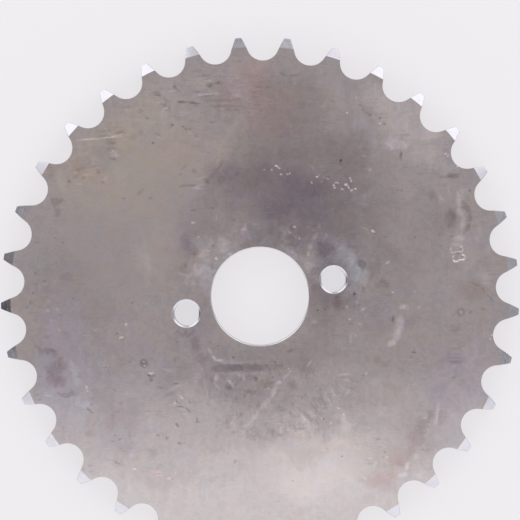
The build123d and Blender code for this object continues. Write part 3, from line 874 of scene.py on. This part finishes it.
pits = [
    # small dark spots; those on the dents in the mesh are painted shade
    (-28.2, 40.6, 1.1, .9, 0, -27), (-23.1, 45.5, 1, .8, 0, -27), (-20.5, 45, 1, .7, 0, -22),
    (-18.4, 44.3, .9, .7, 0, -18), (-16.9, 42.3, .9, .7, 0, -19), (-15.6, 48.6, .8, .6, 0, -16),
    (-31.9, 48.8, .8, .6, 0, -16), (-29.6, 47.3, .8, .6, 0, -13), (-24.9, 51.3, .8, .6, 0, -16),
    (-21.8, 54.5, .8, .6, 0, -16), (-16.5, 54.3, .8, .6, 0, -13), (-39.3, 42, .8, .6, 0, -17),
    (-38.2, 41, .8, .6, 0, -17), (-39.5, 38.7, .8, .6, 0, -15), (-38.5, 36.5, .8, .6, 0, -15),
    (-50.4, 30.4, 1.4, .9, 0, -18), (-42.7, 32.6, 1.2, .8, 0, -16), (-41.5, 30.2, 1.3, .9, 0, -16),
    (-46.7, 31.4, 1.4, .9, 0, -14), (-48.8, 32.8, 1.2, .8, 0, 14), (-29.1, 26.1, 1.2, .9, 0, -16),
    (21.4, 36, 1, 1, 0, -42), (-11, 56.6, 1, .7, 0, -15), (-13.4, 55.6, 1, .7, 0, -15),
    (-14, 57.6, 1, .7, 0, -15), (-5.9, 38.7, .8, .6, 0, -10), (-3.6, 37.6, .8, .6, 0, -10),
    (29.3, 48.2, 1.1, .8, 0, -21), (31.8, 47.3, 1, .8, 0, -21), (33.1, 45.6, 1, .8, 0, -18),
    (26.4, 50.6, .9, .7, 0, -15), (27.2, 49.4, .9, .7, 0, -15), (39.1, 42.7, 1.2, .8, 0, -18),
    (37.5, 41.8, 1.1, .8, 0, -17), (37.6, 28, .9, .7, 0, -17), (41, 15.8, .9, .8, 0, -25),
    (55.4, 28, 1.1, 1.1, 0, -18), (47.9, 13.4, .9, .7, 0, -15), (40.6, -14.8, 1.8, .8, -15, -25),
    (-60.1, .9, 1, .8, 0, -25), (-59.3, 3.3, .9, .7, 0, -17), (-57.1, 4.1, .9, .7, 0, -17),
    (-59.4, 6.2, .9, .7, 0, -17), (-61.6, -2.9, .9, .7, 0, -17), (-33.8, -1.6, 1, .8, 0, -19),
    (-49.5, -.4, 1, .7, 0, -15), (-37.8, -9.9, 1.2, .9, 0, -18), (-17.4, 11.3, 1.5, 1.2, 0, -14),
    (-19.7, 8.1, 1.3, 1.1, 0, -14), (-12.4, 13.3, 1.5, 1.1, 0, -14), (-7.1, 20.3, 1.7, 1.2, 0, -12),
    (0, 14.9, 1.6, .9, 0, -12), (-12.5, 23.4, 1.4, 1, 0, -12), (-22, -12.1, 1.5, 1.1, 0, -14),
    (-13.2, -12.1, 1.2, 1, 0, -14), (-11, -13, 1.2, 1, 0, -14), (25.05, .7, .9, .8, 0, -42),
    (27.3, 2.4, .8, .6, 0, -18), (27.3, 1.1, .8, .6, 0, -18), (22, -3.1, .9, .7, 0, -14),
    (26.2, -2.3, 1, .7, 0, -17), (17.2, -3.4, 1, .7, 0, -17), (15.25, -3.5, .9, .7, 0, -37),
    (-29.4, -20.85, .9, .7, 0, -38), (-28.7, -22, 1.6, 1.2, 0, -21), (-22.3, -23.1, 1.9, .9, 10, -24),
    (-22.6, -16.9, 1.1, 1.2, 0, -11), (-22.1, -27.9, .7, .6, 0, -26), (-21.3, -28.3, .7, .6, 0, -24),
    (-21.9, -34, 2, .9, -45, -25), (-27, -36.7, 1.1, 1.1, 0, -18), (-24.6, -37.5, 1.2, 1.7, -20, -18),
    (-21.3, -38.9, 1.5, .9, -10, -20), (-20.1, -38.8, 1.4, .5, 10, -17), (-16.6, -33.2, 1.8, .8, 20, -24),
    (-16.7, -32.5, .7, 1.4, 10, -20), (-6.6, -43.6, 1.1, 1.6, 0, -14), (16.9, -32.5, .8, .7, 0, -26),
    (21.6, -42.25, 1.1, .9, 0, -21), (10, -39.7, .8, .5, 0, -13), (8.7, -48.7, 1.3, .6, 0, -15),
    (-52.1, -34.8, 1, 1.1, 0, -17), (-38.3, -36.8, 1.1, .6, 0, -18), (-38.9, -38.4, 1.1, .6, 0, -17),
    (-37, -37.9, 1.3, .7, 20, -17), (-36.9, -40.3, .8, .7, 0, -13), (-36.2, -40.9, .8, .6, 0, -13),
    (-41.1, -18.7, 1.9, 1.1, 0, -14), (-36.9, -28.1, 2, 1.1, 0, -12), (-44.5, -28.5, 1, 1.2, 0, -13),
    (-44.3, -27, 1.9, 1.5, 0, -9), (-7, -16.1, .9, .8, 0, -36, -2, 4), (-8, -16.2, 1, .9, 0, 5, -2, 8),
    (3.9, -17.4, 1.4, .9, 0, -16), (43, -40.5, 1.6, .8, 0, -10), (28.9, -44.2, 2.6, 1.2, 0, -8),
    (33, -41.2, 1, 1, 0, -14), (32.5, -42.6, 1.2, 1, 0, -10), (27.3, -20.9, 1.3, .8, 0, -12),
    (-26.8, -45, 1, .5, 0, -9), (-23, -48.4, .8, .7, 0, -12),
]
stampShine = [
    # painted highlights where the punched number's edges catch the light, and painted shade inside its
    # grooves
    (50.5, 12.5, .5, 1.6, 0, 26), (50.9, 11.7, 1, .5, -25, 30), (51.7, 11.75, 1.2, .5, 8, 24),
    (52.4, 11.95, 1, .5, 5, 34), (53.2, 11.85, 1.3, .5, 0, 40), (53.6, 12.4, .5, 1.3, 0, 30),
    (53.3, 13.2, 1, .5, 25, 32), (53.15, 12.5, .7, .6, 0, -16), (51, 10.3, .5, 1.6, 3, 34),
    (51.3, 9.5, 1, .55, -40, 46), (51.9, 9.25, 1.2, .55, 8, 46), (52.5, 9.6, 1, .5, 35, 36),
    (53.1, 9.75, 1.1, .5, 0, 36), (53.8, 9.8, 1.1, .55, 8, 46), (54.25, 10.5, .5, 1.3, 0, 36),
    (53.8, 11.05, 1, .5, 15, 36), (53.4, 10.5, .8, .5, 0, -16), (51.9, 10.4, .6, .6, 0, -14),
]
streaks = [
    # the pale diagonal run and the fan of dried streaks under the bore
    (4.9, -22.8, 2.4, 1.3, 12, 22), (7.3, -20.6, 6, 1, 50, 14), (3.7, -25.2, 5, 1.5, 68, 16, 1, 2),
    (1.4, -28.4, 6, 2, 50, 14, 1, 2), (-1.2, -31.6, 4.6, 2, 60, 10, 0, 2), (13, -17.8, 3.6, 1, 53, 20),
    (-12.2, -16.4, 2.8, 1.3, -45, 16), (-10.5, -17, 2.4, 1.1, 0, 14), (-11.4, -23.7, 4, 1, -52, 12),
    (-7.7, -23, 4.2, 1, -50, 13), (-11.8, -21.5, 1, 3, 0, 12), (-8.2, -24.3, 1.3, 1.9, 30, -14),
    (-10.1, -21, 1.2, 1.6, 0, -12), (-5.5, -21, 1, 1.8, 0, 9), (-4.5, -21.4, .9, 2.6, 0, 11),
    (-1.2, -21.8, 1.6, 1.9, 0, -11), (-2.6, -25.2, 4.4, 1.2, 5, -8), (-9, -26, 3.4, 1, -50, -7),
    (-14.6, -23, 1, 5, 4, 7), (-13.4, -25.4, 1, 4, -8, -6), (-22.6, -24.2, 8, 1.3, 22, 9, 0, 1),
    (-24.2, -26, 5.4, .9, 22, -7), (-24, -19.6, 5, .9, -12, 7), (-21, -26.2, 6, .8, 4, 6),
    (-6.1, -31.2, .9, 2, 0, -10), (-5, -33.6, 3, .9, 70, -8), (-7.8, -33.8, 3.2, .9, 62, 8),
    (-2.6, -35.2, 3.6, .9, 28, -8), (-3.4, -34, 3.6, .9, 30, 8), (22.4, -20.6, 5, .8, 5, 9),
    (22.6, -22, 4.6, 1, -6, 8), (24.6, -22.8, 4.2, .9, -22, 8), (23, -25.4, 3.6, .8, 55, 9),
    (22, -21.4, 4.6, .7, 4, -8), (23.8, -24.2, 3.6, .8, -10, -8), (19.4, -25.4, 3.6, .9, -62, 8),
    (12.3, -31.7, 6.4, .8, -49, -9), (11.5, -32, 6, .7, -49, 9, 2, 0), (13.8, -31, 6, .8, -49, 10, 2, 0),
    (14.6, -29.8, 5.6, .9, -52, -8), (15.8, -29, 5.4, .8, -55, 8), (17, -28.4, 5, .9, -60, -8),
    (18.2, -27.6, 5.2, .8, -62, 8), (10, -30.2, 4.4, .9, -46, 7), (8.6, -31.4, 4, .9, -46, -6),
    (5.8, -30, 3.8, .9, 10, -7), (7.4, -34.8, 1, 2.4, 15, 9), (5.2, -35.4, 1, 2.6, -10, 8),
    (9.2, -35, 1, 2.2, 10, -8), (3.4, -36, 1, 2.4, 5, -9),
]
tears = [
    # short lines that the rolls tore along the sheet
    (-19.4, 51.5, 7, .7, 0, -13, 1, 0), (-10, 51.9, 13, .9, 0, -9, 1, 0),
    (-9.6, 50.4, 13, 1.1, 0, -10, 1, 0), (-8, 49.3, 9, .8, 0, -8, 1, 0), (-13, 53.6, 9, .7, 2, 13),
    (-16.6, 54.2, 5, .7, 3, -12), (-14.2, 53, 6, .6, 3, -8), (-13.6, 57, 4, .8, 0, 11),
    (-13.4, 55.9, 3, 1.4, 8, -16), (-11.2, 56.5, 3, 1, 10, -15), (-14.4, 58.5, 4.6, .8, 0, -10),
    (-16.4, 59.6, 5, .9, 3, -8), (-22.3, 55.3, 2.4, 1, -50, -15), (-21.2, 54.2, 1.6, .8, -30, -12),
    (-27.4, 54, 3.4, .8, -8, -12), (-26.6, 53, 2.4, .8, -50, -12), (-25.6, 50.8, 3, .8, -30, -12),
    (-24.9, 49.7, 2, .7, 0, 14), (-24, 49.6, .7, 4, 0, -8), (-27, 51.4, 4.6, .7, -6, 8),
    (-35.1, 50.2, 3, .7, -5, -9), (-34.9, 49.3, 3, .7, -5, 9), (-31.3, 49.2, 2, 1.2, -45, -9),
    (-30, 47.3, 1.8, 1.2, -40, -12), (-25.6, 47.6, 3.4, 6, 0, 4, -1, 2), (-27, 42.9, 2.6, .8, -28, -13),
    (-26.6, 42.2, 2.6, .6, -10, 9), (-19.6, 44.4, 3, 1, -30, -10), (-18.4, 43.4, 2.2, .8, -40, 8),
    (-23.4, 45.2, 1.2, 2, 0, -9), (-12.6, 46.2, 3, .8, 0, -8), (-41.5, 41.9, 16, .5, 5, 13),
    (-39, 40.6, 2.4, .8, 0, -12), (-38.6, 39.3, 2.4, .8, 0, -13), (-39.2, 38, 3, .7, -8, 9),
    (-38.3, 37.3, 4, .9, 0, 10), (-39, 36.4, 3, .8, -20, -11), (-37, 43.6, 3.6, .8, 12, -9),
    (-33.4, 42.2, 3, 2, 45, -7), (-47.5, 33.8, 5, 1, 15, -8, 1, 0), (-44, 34.4, 4, .8, 8, -8, 1, 0),
    (-49, 31.6, 2, 1.4, 40, -9, 1, 0), (-45.6, 32.2, 4, .8, 5, 9, 0, 1),
    (-42.8, 33.2, 1.8, 1.4, 0, -10, 1, 0), (-41, 31.2, 1.6, 1.8, 0, 8, 0, 1), (-48, 29.8, 3, .8, 0, 8),
    (-20, 34.2, 2.6, .8, 40, -9), (-17.4, 33.2, 1.6, 2, 30, -10), (-15.6, 31.4, 4, .8, 25, 9),
    (-20.4, 29.2, 3.4, .9, 5, -12), (-16.3, 29.2, 4, .8, 22, 12), (-14.2, 30.6, 3, 1, -35, -12),
    (-11.2, 36, 3, .8, 48, 8), (-10.4, 34.8, 4.6, 1.4, 55, -10, 1, 1), (-13, 31.6, 5, 1.6, 50, -11, 1, 2),
    (-8.4, 32.6, 9, 4.4, 55, -6, 1, 2), (-6, 32.6, 2.4, 2.2, 0, -9, 1, 0),
    # pale and dark patches at the upper right
    (26.6, 46.4, 5, 3.4, -20, 3, -1, 2), (34, 39.6, 4, 2.6, 0, 3, 0, 1), (39.8, 41, 4, 3, 0, -2, -2, 0),
    (31.8, 42.2, 2.6, 2.2, 0, -5, -1, 0), (37.2, 37.2, 1.2, 4, 0, -8), (38.4, 42.8, 3, .9, 30, -8),
    (37, 41.6, 2, .8, -30, -8), (46.2, 25.6, 2.6, 4, 20, -5), (48, 25.4, 1.6, 3, 10, 6, 0, 1),
    (45.4, 34.2, 8, .8, -3, 5), (49.8, 28.6, 1.4, 4, 0, 5, 0, 1), (27.6, 24.4, 5, .7, -8, 7),
    (29.4, 16.6, 4, .6, -20, 8), (57.6, 16.8, 3, 5, 0, 5, 0, 1), (60.4, 12.4, 3, 4, 0, 5, 0, 1),
]
frosts = [
    (36.2, 40.6, 6.8, 4.2, -5, 6, 0, 1), (38.6, 40.3, 3.2, 2.8, 0, 4, 0, 1),
    (34.6, 39.4, 2.6, 1.8, 0, 5, 0, 1), (26.6, 45.8, 6.4, 4, 0, 3, -1, 1),
    (25.4, 43.4, 4.4, 3.2, 0, -3, 0, 1), (-54.3, 24.9, 4, 3, 8, -13, 2, -2),
    (-53.9, 22.2, 2.2, 3.4, 5, -12, 2, -2), (-47.5, 35, 7.4, 4.8, 20, -6, 2, 0),
    (-42, 38.3, 6.4, 3.2, 10, -4, 1, 0), (-55.6, 33, 2.6, 5, 15, -6, 0, -1),
    (-52.6, 30.8, 2.4, 8, 10, 5, 0, -2), (-19.8, 14.6, 3.4, 5, 5, -6, 1, 2),
    (43, -34.4, 3.6, 6, -28, -6, 1, 0), (41.6, -38.4, 4.4, 5, -10, -6, 1, 0),
    (39, -37, 3.4, 2.6, 30, -5, 1, 0), (46.9, -31, 1.2, 8, -4, 7), (44, -36.4, 1.2, 4, -20, 6),
    # clear-edged patches of pale oxide round the bore, the dark they lie in, and the stain at the lower left
    (21, 14, 3.8, 4.6, 0, 9, 0, 2), (22.8, 11, 7.4, 4.8, -15, 10, -2, 2), (24.7, 6, 4.4, 9.4, 0, 12, -2, 1),
    (27.8, 4.6, 2.8, 5.4, 0, 10, 0, 1), (24.8, 1.6, 5, 2.4, 0, 8, -1, 1), (15.2, 8.8, 5, 2.8, 10, 10, -2, 2),
    (15.4, 4.6, 3, 3.6, 0, 10, 1, -1), (17, 12.4, 6, 4.4, -4, -12, 1, 3),
    (27.3, 8.5, 2.4, 3.2, 30, -15, 1, 1), (30.6, 8, 4.6, 4.4, 0, -9, 2, -1),
    (-10.2, 14.4, 2.2, 6.4, 6, 9, 0, 1), (-7.6, 13.8, 5, 2.6, -20, 8, 0, 1),
    (-4.4, 18, 2.2, 2.8, 0, 9, 2, 1), (-14.8, 11.6, 3, 4, 10, 9, 1, 1), (-16, 7.6, 3.6, 3.8, 20, 11, 1, 0),
    (-13.2, 6.9, 3.6, 1.6, -20, 9, 0, 1), (-17.6, 5.9, 6, 1, -6, 7, 1, 0),
    (-20.1, 7.8, 3.2, 2.6, 0, -8, 2, 0), (-17.5, 11.8, 2.4, 5.4, 5, -8, 3, 1),
    (-12.6, 8.4, 2.2, 1.2, -20, -9), (6.3, 17.4, 3.2, 3, 0, 9, -2, 2), (8.3, 11.6, 3, 3, 0, 9, -3, 2),
    (12.4, 8, 2.6, 3.4, 0, 9, -3, 3), (1.4, 14.4, 5, 1.8, 0, 6, -1, 1), (-52.4, -18, 3.2, 4, 10, -12, 4, -2),
    (-52.9, -22.2, 5.4, 3, 0, -9, 3, 0), (-51.3, -25.9, 6, 2, -18, -14, 2, 0),
    (-49.1, -20, 2.2, 9, 14, 9, -2, -1), (-55.6, -21.2, 3, 4, 0, -4, 2, 1),
]
bands = [
    # a dark bar and the light line that bounds it
    (-8.6, -18.95, 10.5, 2.5, 1, -13, 0, 1), (-3.5, -18.9, 12, 2.5, -1, -11, 0, 1),
    (1.5, -18.8, 12, 2.3, 1, -9, 1, 0), (-8, -17.3, 9, 1.3, -3, 7, 0, 1), (-2, -17.2, 8, 1.1, 3, 4, 0, 1),
    (-6, -20.4, 14, .8, 0, 5, 0, 1),
]
pitRings = [
    # painted shade over the dents in the mesh; the glints paint their bright bottoms
    (-30.7, -17.7, 2.7, 2.9, 0, -24), (53.2, -4.1, 2.7, 2.7, 0, -15), (-28.8, -20.8, 2.6, 2, -10, -14),
    (8.6, 18.2, 1.8, 1.8, 0, -12), (29.9, 17.3, 2.6, 2, -20, -7),
]


def steelColour(shader, tone):
    # the metal's own colour, so that it shows as the tone, a vector of levels out of 255
    level = shader.scaled(tone, [1 / 255] * 3)
    bright = shader.node("Gamma", {}, {"Color": level, "Gamma": steel["displayGamma"]})
    own = shader.scaled(bright, [1 / steel["overhead"]] * 3)
    return shader.vector("MINIMUM", own, [steel["brightest"]] * 3)


def rolledTone(shader, near, ragged, uneven, torn):
    # dragged lines, mottling and patches of oxide, in levels
    dragged = shader.tones(shader.noise(near, *rolled["lines"]), *rolled["lineTones"])
    broken = shader.ramp(shader.noise(ragged, *rolled["breaks"]), *rolled["breakEdges"])
    poured = shader.tones(shader.noise(near, *rolled["pours"]), *rolled["pourTones"])
    curdled = shader.tones(shader.noise(ragged, *rolled["curds"]), *rolled["curdTones"])
    mottled = shader.lumps(ragged, *rolled["mottle"])
    grain = shader.lumps(near, *rolled["grain"])
    least, more, pours = rolled["marring"]
    marred = (curdled + mottled) * (least + uneven * more) + poured * (1 - broken) * uneven * pours
    least, more = rolled["lineShare"]
    grey = dragged * (broken * (least + uneven * more) + torn) + marred + grain
    warm, cool = [
        shader.tinted(shader.wander(ragged, *noise), colour)
        for colour, noise in (rolled["warm"], rolled["cool"])
    ]
    return shader.sum(warm, cool, grey)


def rolledSurface(shader, surface, place, tone):
    # the colour with the dullness and the shallow relief of a rolled face
    patchy = shader.wander(place, *rolled["patches"])
    relief = shader.noise(place, *rolled["relief"]) + patchy * rolled["patchHeight"]
    height = rolled["reliefHeight"] * millimetre
    shader.feed(surface, {
        "Metallic": 1.0,
        "Base Color": steelColour(shader, tone),
        "Roughness": rolled["roughness"] + patchy * rolled["patchDullness"],
        "Normal": shader.node("Bump", {}, {"Height": relief, "Strength": 1, "Distance": height}),
    })


def markPlaces(shader, place):
    # the place pushed about, so that marks drawn on it are ragged
    near = shader.swayed(place, *steel["nearSway"])
    ragged = shader.dragged(shader.swayed(place, *steel["raggedSway"]), *steel["raggedDrag"])
    return near, ragged


def frontSteel():
    material, shader, surface = newMaterial("front_steel")
    place = platePlace(shader)
    near, ragged = markPlaces(shader, place)
    close = shader.swayed(near, *steel["closeSway"])
    broad = shader.dragged(shader.swayed(place, *steel["broadSway"]), *steel["broadDrag"])
    height = shader.node("SeparateXYZ", {}, {0: broad}, "Y")
    # painted sheen that lightens the face towards the bottom, partly a wiped face
    lift = shader.ramp(height, front["wipedFrom"], front["wipedTo"], 0, front["wipedLift"], "LINEAR")
    calm = shader.patch(broad, *front["calm"]) * front["calmness"]
    uneven = 1 - calm - shader.patch(broad, *front["wiped"]) * front["wipedness"]
    torn = shader.patch(broad, *front["torn"])

    runs = shader.wander(shader.swayed(near, *front["runsSway"]), *front["runs"])
    veins, darks = front["runTones"]
    offMiddle = shader.node("Math", {"operation": "ABSOLUTE"}, {0: runs})
    dried = shader.ramp(offMiddle, *veins[:2]) * veins[2] - shader.ramp(runs, *darks[:2]) * darks[2]
    scale = shader.ramp(shader.noise(ragged, *front["scale"]), *front["scaleEdges"])
    tone = shader.sum(
        steel["tone"],
        lift,
        rolledTone(shader, near, ragged, uneven, torn),
        dried * shader.patch(broad, *front["runsPatch"]),
        scale * shader.patch(broad, *front["scalePatch"]) * front["scaleLift"],
    )

    # each list's place, marks, and the share of every mark's radius that is full strength
    for where, marks, core in (
        (broad, fields, 0.25),
        (ragged, stains, 0.3),
        (near, bands, 0.7),
        (near, smears, 0.3),
        (near, streaks, 0.35),
        (near, tears, 0.4),
        (ragged, frosts, 0.6),
        (near, pitRings, 0.6),
        (close, scratches, 0.2),
        (close, pits, 0.3),
        (close, flecks, 0.4),
        (place, stampShine, 0.4),
    ):
        tone = shader.scaled(tone, shader.marked(where, marks, core))
    rolledSurface(shader, surface, place, tone)
    return material


def backSteel():
    # the same sheet, scuffed by the bench and without the front's own marks
    material, shader, surface = newMaterial("back_steel")
    place = shader.vector("ADD", platePlace(shader), back["shift"])
    near, ragged = markPlaces(shader, place)
    torn = shader.ramp(shader.noise(ragged, *back["torn"]), *back["tornEdges"])
    clouds = shader.lumps(ragged, *back["clouds"])
    stained = shader.ramp(shader.noise(ragged, *back["stains"]), *back["stainEdges"]) * back["stainDrop"]
    scuffs = shader.ramp(shader.noise(near, *back["scuffs"]), *back["scuffEdges"]) * back["scuffLift"]
    usual = rolledTone(shader, near, ragged, back["unevenness"], torn)
    rolledSurface(shader, surface, place, shader.sum(steel["tone"], usual, clouds - stained + scuffs))
    return material


cutFinishes = {
    # colour, roughness, and the size and the height of the lines that the tool leaves, in millimetres
    "turned_steel": ((0.64, 0.625, 0.685), 0.2, 0.35, 0.004),
    "milled_steel": ((0.5, 0.48, 0.48), 0.3, 0.5, 0.006),
    "bored_steel": ((0.5, 0.48, 0.48), 0.3, 0.4, 0.005),
}
cut = {
    # noises are as in the rolled finish; contrasts are of the colour, dullness is added to the roughness
    "drift": (0.04, 0.04, 0),          # how fast the tool's lines change along their length
    "lineNoise": (3, 0.7),             # detail and roughness
    "lineContrast": 0.3,
    "lineDullness": 0.2,
    "smudgeSway": (1.6, 0.5),
    "smudges": (2.2, 4, 0.65),
    "smudgeContrast": 0.35,
    "smudgeDullness": 0.2,
    "spots": (0.9, 3, 0.6),
    "spotEdges": (0.66, 0.76),
    "spotContrast": 0.25,
    "spotDullness": 0.2,
}


def cutSteel(name):
    # a machined surface: its lines run round the plate's axis and, on the walls, level with the faces
    colour, roughness, spacing, depth = cutFinishes[name]
    material, shader, surface = newMaterial(name)
    place = platePlace(shader)
    level = shader.scaled(place, (1, 1, 0))
    radius = shader.node("VectorMath", {"operation": "LENGTH"}, {0: level}, "Value")
    height = shader.node("SeparateXYZ", {}, {0: place}, "Z")
    onLathe = name == "turned_steel"
    along = shader.node("CombineXYZ", {}, {0: radius if onLathe else 0, 1: height})
    lines = shader.noise(shader.sum(along, shader.scaled(place, cut["drift"])), spacing, *cut["lineNoise"])
    smudges = shader.wander(shader.swayed(place, *cut["smudgeSway"]), *cut["smudges"])
    spots = shader.ramp(shader.noise(place, *cut["spots"]), *cut["spotEdges"])
    lined = lines - 0.5
    shade = lined * cut["lineContrast"] + smudges * cut["smudgeContrast"] + 1 - spots * cut["spotContrast"]
    dullness = roughness + lined * cut["lineDullness"] + smudges * cut["smudgeDullness"]
    shader.feed(surface, {
        "Metallic": 1.0,
        "Base Color": shader.scaled(shade, colour),
        "Roughness": dullness + spots * cut["spotDullness"],
        "Normal": shader.node("Bump", {}, {"Height": lines, "Strength": 1, "Distance": depth * millimetre}),
    })
    return material


materials = [frontSteel(), backSteel()] + [cutSteel(name) for name in cutFinishes]
print("finishes made")
body = makePlate(materials)
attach(body, "root")
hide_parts("sprocket_plate")
print("plate made:", len(body.data.polygons), "faces")

studio = {
    "viewHeight": 650,       # the camera above the plate's front face, millimetres
    "viewAcross": 137.6,     # the width of the view at the front face
    "viewRise": 9.66,        # from the bore's centre up to the middle of the view
    "viewClip": (0.05, 100),   # metres
    "floorReach": 12000,     # from the bore to the floor's edges
    "floorColour": (0.9, 0.88, 0.9),
    "floorRoughness": 0.9,
    "floorSeen": (0.9, 0.875, 0.909),
    "floorGlow": 0.73,       # the share of the floor's look that takes no shadow
    "roomLow": 1.19,         # the room's light from the sides
    "roomHigh": 0.75,        # and from above
    "roomRise": (0.6, 0.85),   # between the two, as the sine of the elevation
}
softboxes = [
    # bearing in the view and elevation in degrees, distance, width and height in millimetres, radiance
    (48.5, 28, 700, 480, 360, 0.34),
    (127, 28, 700, 430, 360, 0.34),
]
roomPatches = [
    # darker parts of the room: bearing in the view, elevation, inner and outer half angle, light
    (93, 27, 4, 16, 0.4),
    (5, 27, 14, 27, 0.46),
    (-15, 27, 3, 11, 0.26),
    (179, 27, 7, 26, 0.08),
    (164, 27, 3, 14, 0.3),
]


def inTheRoom(bearing, elevation):
    turn = radians(bearing - viewRoll)
    rise = radians(elevation)
    return Vector((cos(turn) * cos(rise), sin(turn) * cos(rise), sin(rise)))


def makeCamera():
    data = bpy.data.cameras.new("camera")
    data.lens = data.sensor_width * studio["viewHeight"] / studio["viewAcross"]
    data.clip_start, data.clip_end = studio["viewClip"]
    camera = bpy.data.objects.new("camera", data)
    bpy.context.scene.collection.objects.link(camera)
    roll = radians(viewRoll)
    rise, height = studio["viewRise"], halfThickness + studio["viewHeight"]
    camera.location = Vector((rise * sin(roll), rise * cos(roll), height)) * millimetre
    camera.rotation_euler = (0, 0, -roll)
    bpy.context.scene.camera = camera


def seenDirectly(shader):
    # 1 for what the camera sees, also by way of a shiny or clear surface
    path = shader.node("LightPath", {}, {}, "Is Camera Ray")
    other = path.socket.node.outputs
    return path + Wire(shader, other["Is Glossy Ray"]) + Wire(shader, other["Is Transmission Ray"])


def makeFloor():
    reach = studio["floorReach"] * millimetre
    level = -halfThickness * millimetre
    mesh = bpy.data.meshes.new("floor")
    corners = [(x * reach, y * reach, level) for x, y in ((-1, -1), (1, -1), (1, 1), (-1, 1))]
    mesh.from_pydata(corners, [], [(0, 1, 2, 3)])
    material, shader, surface = newMaterial("floor")
    shader.feed(surface, {
        "Base Color": (*studio["floorColour"], 1),
        "Roughness": studio["floorRoughness"],
        "Specular IOR Level": 0,
    })
    glow = shader.node("Emission", {}, {"Color": (*studio["floorSeen"], 1), "Strength": 1})
    share = seenDirectly(shader) * studio["floorGlow"]
    mix = shader.node("MixShader", {}, {0: share, 1: Wire(shader, surface.outputs[0]), 2: glow})
    shader.feed(material.node_tree.nodes["Material Output"], {"Surface": mix})
    mesh.materials.append(material)
    floor = bpy.data.objects.new("floor", mesh)
    bpy.context.scene.collection.objects.link(floor)


def makeSoftbox(number, bearing, elevation, distance, width, height, radiance):
    data = bpy.data.lights.new(f"softbox{number}", "AREA")
    data.shape = "RECTANGLE"
    data.size, data.size_y = width * millimetre, height * millimetre
    data.energy = radiance * pi * data.size * data.size_y
    lamp = bpy.data.objects.new(f"softbox{number}", data)
    lamp.location = inTheRoom(bearing, elevation) * distance * millimetre
    lamp.rotation_euler = lamp.location.to_track_quat("Z", "Y").to_euler()
    lamp.visible_camera = False
    bpy.context.scene.collection.objects.link(lamp)


def makeWorld():
    world = bpy.data.worlds.new("studio")
    bpy.context.scene.world = world
    world.use_nodes = True
    world.node_tree.nodes.clear()
    shader = Shader(world.node_tree)
    towards = shader.node("TexCoord", {}, {}, "Generated")
    height = shader.node("SeparateXYZ", {}, {0: towards}, "Z")
    light = shader.ramp(height, *studio["roomRise"], studio["roomLow"], studio["roomHigh"])
    for bearing, elevation, inner, outer, level in roomPatches:
        sockets = {0: towards, 1: inTheRoom(bearing, elevation)}
        alignment = shader.node("VectorMath", {"operation": "DOT_PRODUCT"}, sockets, "Value")
        mask = shader.ramp(alignment, cos(radians(outer)), cos(radians(inner)))
        light = light + (level - light) * mask
    room = shader.node("Background", {}, {"Color": (1, 1, 1, 1), "Strength": light})
    output = world.node_tree.nodes.new("ShaderNodeOutputWorld")
    shader.feed(output, {"Surface": room})


makeCamera()
makeFloor()
makeWorld()
for number, box in enumerate(softboxes):
    makeSoftbox(number, *box)
bpy.context.scene.view_settings.view_transform = "Standard"
print("studio set")
